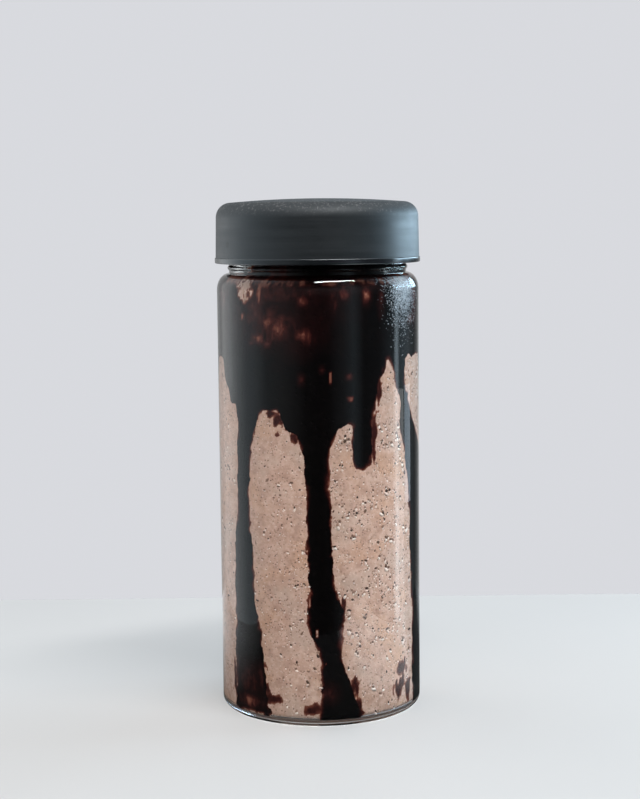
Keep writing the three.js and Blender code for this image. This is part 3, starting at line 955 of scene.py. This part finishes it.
FLOOR_HALF = 150 * MM
FLOOR_DROP = -0.03 * MM
FLOOR_DARK = (0.42, 0.41, 0.405)
FLOOR_PALE = (0.45, 0.44, 0.435)
FLOOR_GLOW_COLOUR = (0.95, 0.98, 1, 1)
FLOOR_GLOW = (1.2, 0.19)
FLOOR_GLOW_EDGE = (BODY_RADIUS - 5 * MM, BODY_RADIUS - 3 * MM)
# How pale the floor is in reflections: a direction, the distances along it, and the shades there
MIRRORED_BACK_LEFT = ((-0.6, 0.8, 0), 20 * MM, 110 * MM, 0.05, 0.70)
MIRRORED_FRONT = ((0.28, -0.96, 0), 4 * MM, 16 * MM, 0.0, 1.2)
MIRRORED_RIGHT = ((1, 0, 0), 40 * MM, 70 * MM, 0.0, 1.0)


def floor_material():
    """Pale grey that glows under the foot. Reflections show it dark except at back left and front right."""
    nodes = Nodes("pale_floor")
    cloud = nodes.noise(9.0, 4.0)
    nodes.link(nodes.mix(cloud, FLOOR_DARK, FLOOR_PALE), nodes.shader.inputs["Base Color"])
    nodes.shader.inputs["Roughness"].default_value = 0.6
    nodes.shader.inputs["Emission Color"].default_value = FLOOR_GLOW_COLOUR
    place = nodes.place()
    radius = nodes.add("VectorMath", {0: place}, operation="LENGTH").outputs["Value"]
    nodes.link(nodes.remap(radius, *FLOOR_GLOW_EDGE, *FLOOR_GLOW), nodes.shader.inputs["Emission Strength"])

    def shade(line, *ends):
        along = nodes.add("VectorMath", {0: place, 1: line}, operation="DOT_PRODUCT").outputs["Value"]
        return nodes.remap(along, *ends)

    front_right = nodes.math("MULTIPLY", shade(*MIRRORED_FRONT), shade(*MIRRORED_RIGHT))
    pale = nodes.math("MAXIMUM", shade(*MIRRORED_BACK_LEFT), front_right)
    mirrored = nodes.add("BsdfDiffuse", {"Color": pale})
    ray = nodes.add("LightPath")
    seen = nodes.add("MixShader", {0: ray.outputs["Is Glossy Ray"]})
    nodes.link(nodes.shader.outputs[0], seen.inputs[1])
    nodes.link(mirrored.outputs[0], seen.inputs[2])
    nodes.link(seen.outputs[0], nodes.output.inputs["Surface"])
    return nodes.material


# Stage


def add_floor():
    signs = ((-1, -1), (1, -1), (1, 1), (-1, 1))
    corners = [(x * FLOOR_HALF, y * FLOOR_HALF, FLOOR_DROP) for x, y in signs]
    mesh_object("floor", corners, [(0, 1, 2, 3)], floor_material())


def add_lamp(name, place, target_height, size, power, colour, mirrored):
    """A rectangular lamp pointed at the jar's axis. The camera doesn't see it."""
    lamp = bpy.data.lights.new(name, "AREA")
    lamp.shape = "RECTANGLE"
    lamp.size, lamp.size_y = size
    lamp.energy = power
    lamp.color = colour
    holder = bpy.data.objects.new(name, lamp)
    holder.location = place
    aim = Vector((0, 0, target_height)) - Vector(place)
    holder.rotation_euler = aim.to_track_quat("-Z", "Y").to_euler()
    holder.visible_camera = False
    holder.visible_glossy = mirrored
    bpy.context.scene.collection.objects.link(holder)


# Light that comes from each azimuth: angle in degrees, strength, and how blue it is
SURROUNDINGS = [
    (-90, 0.78, 0.5),
    (-75, 0.62, 0.5),
    (-60, 0.30, 0.5),
    (-40, 0.20, 0.3),
    (-15, 0.03, 0.2),
    (0, 0.01, 0.2),
    (12, 0.02, 0.3),
    (28, 0.14, 0.5),
    (40, 0.34, 0.8),
    (52, 0.05, 0.5),
    (72, 0.05, 0.5),
    (95, 0.25, 0.9),
    (98, 2.40, 0.8),
    (101, 2.40, 0.8),
    (105, 0.40, 0.9),
    (112, 0.45, 0.9),
    (122, 0.40, 0.8),
    (129, 0.20, 0.5),
    (140, 0.08, 0.2),
    (152, 0.25, 0.1),
    (165, 0.55, 0.1),
    (195, 0.45, 0.1),
    (214, 0.60, 0.1),
    (224, 1.25, 0.1),
    (240, 1.50, 0.2),
    (270, 0.78, 0.5),
]
SURROUNDINGS_PEAK = 2.4
BLUE_LOSS = (0.36, 0.14)
BACKDROP = (0.69, 0.70, 0.735)


def add_world():
    """Soft light, brighter at the sides and behind than in front. The camera sees an even pale grey."""
    world = bpy.data.worlds.new("studio")
    world.use_nodes = True
    tree = world.node_tree
    tree.nodes.clear()
    output = tree.nodes.new("ShaderNodeOutputWorld")
    place = tree.nodes.new("ShaderNodeTexCoord")
    turn = tree.nodes.new("ShaderNodeTexGradient")
    turn.gradient_type = "RADIAL"
    ramp = tree.nodes.new("ShaderNodeValToRGB")
    light = tree.nodes.new("ShaderNodeBackground")
    plain = tree.nodes.new("ShaderNodeBackground")
    ray = tree.nodes.new("ShaderNodeLightPath")
    mix = tree.nodes.new("ShaderNodeMixShader")
    elements = ramp.color_ramp.elements
    while len(elements) < len(SURROUNDINGS):
        elements.new(0.5)
    for element, (azimuth, strength, blue) in zip(elements, SURROUNDINGS):
        element.position = 0.25 + azimuth / 360
        level = strength / SURROUNDINGS_PEAK
        red, green = (level * (1 - loss * blue) for loss in BLUE_LOSS)
        element.color = (red, green, level, 1)
    light.inputs["Strength"].default_value = SURROUNDINGS_PEAK
    plain.inputs["Color"].default_value = (*BACKDROP, 1)
    links = tree.links
    links.new(place.outputs["Generated"], turn.inputs["Vector"])
    links.new(turn.outputs["Fac"], ramp.inputs["Fac"])
    links.new(ramp.outputs["Color"], light.inputs["Color"])
    links.new(ray.outputs["Is Camera Ray"], mix.inputs[0])
    links.new(light.outputs[0], mix.inputs[1])
    links.new(plain.outputs[0], mix.inputs[2])
    links.new(mix.outputs[0], output.inputs["Surface"])
    bpy.context.scene.world = world


CAMERA_PLACE = (0.403 * MM, -546.5 * MM, 164.1 * MM)
CAMERA_PITCH = math.radians(-6.40)
CAMERA_ROLL = math.radians(-0.558)
FOCAL_PIXELS = 1639.7
FRAME_HEIGHT_PIXELS = 799


def add_camera():
    data = bpy.data.cameras.new("camera")
    data.sensor_width = 36.0
    data.lens = data.sensor_width * FOCAL_PIXELS / FRAME_HEIGHT_PIXELS
    data.clip_start = 0.01
    camera = bpy.data.objects.new("camera", data)
    turn = Matrix.Rotation(math.radians(90) + CAMERA_PITCH, 4, "X") @ Matrix.Rotation(CAMERA_ROLL, 4, "Z")
    camera.matrix_world = Matrix.Translation(CAMERA_PLACE) @ turn
    bpy.context.scene.collection.objects.link(camera)
    bpy.context.scene.camera = camera


# Each lamp's name, place, the height it points at, size, power in watts, colour, and whether it is mirrored
LAMPS = [
    ("key_above", (0.28, -0.48, 1.25), 80 * MM, (0.8, 0.14), 13.5, (1, 0.99, 0.98), True),
    ("fill_left", (-0.45, -0.95, 0.72), 80 * MM, (1.0, 0.8), 4.4, (1, 0.99, 0.98), False),
    ("window_right", (0.92, 0.57, 0.346), 150 * MM, (1.0, 0.36), 10.5, (0.60, 0.83, 1), True),
    ("sill_right", (0.88, 0.50, -0.050), 80 * MM, (0.24, 0.11), 0.13, (0.72, 0.86, 1), True),
    ("card_right", (0.907, 0.18, -0.095), 80 * MM, (0.32, 0.21), 0.24, (1, 1, 1), True),
]


def place_piece(piece, node):
    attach(piece, "root")
    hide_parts(node)


add_camera()
add_world()
for lamp_values in LAMPS:
    add_lamp(*lamp_values)
add_floor()

wall = Wall()
sauce = Sauce(wall)
place_piece(add_jar(glass_material()), "jar")
place_piece(add_lid(lid_material()), "lid")
place_piece(add_sauce(wall, sauce, contents_material("chocolate_sauce", 0.5)), "chocolate_sauce")
place_piece(add_milkshake(wall, sauce, contents_material("milkshake", 0.6)), "milkshake")

specks, *pits = add_specks(wall, sauce, grain_material("chocolate_grain_and_pit_shade", 0.5, *SPECK_TONES))
for grains, slot in (
    (specks, "shake"),
    (add_pale_grains_and_pit_highlights(pits, grain_material("pale_grain_and_pit_highlight", 0.5, *PALE_TONES)), "shake"),
    (add_dew(grain_material("dew_and_glare", 0.2, *DEW_GLARE_TONES)), "glass"),
):
    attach(grains, "root")

bpy.context.scene.view_settings.view_transform = "Standard"
